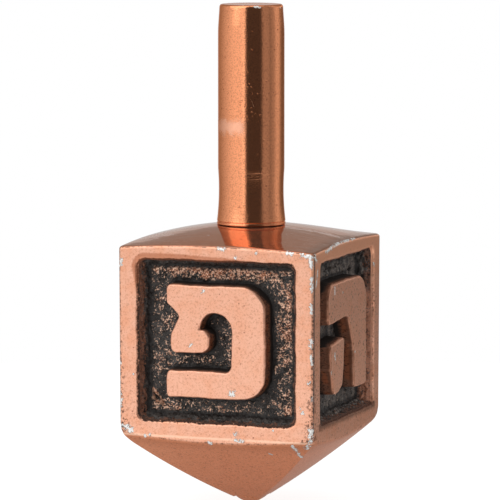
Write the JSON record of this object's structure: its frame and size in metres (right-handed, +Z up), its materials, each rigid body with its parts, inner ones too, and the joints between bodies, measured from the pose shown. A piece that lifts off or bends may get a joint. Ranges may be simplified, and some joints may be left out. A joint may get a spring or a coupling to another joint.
{
  "type": "dreidel",
  "caption": "Four-sided metal dreidel: a square cast body with recessed panels, raised letters and a pyramid point, and a turned round stem pressed into its top.",
  "frame": {"origin": "the tip that the dreidel spins on, on its spin axis", "axes": "+Z up along the spin axis towards the end of the stem; -Y out of the front side with the letter pe, +X out of the right side with the letter he"},
  "size_m": [0.0304, 0.0304, 0.0746],
  "materials": {
    "cast_body": "antiqued copper plating on a silvery casting: satin on the frames, letters and point, polished on top, blackened rough ground in the panels",
    "turned_stem": "polished copper plating with fine turning marks and handling scratches"
  },
  "bodies": {
    "root": {"body": "cast_body", "stem": "turned_stem"}
  },
  "joints": []
}
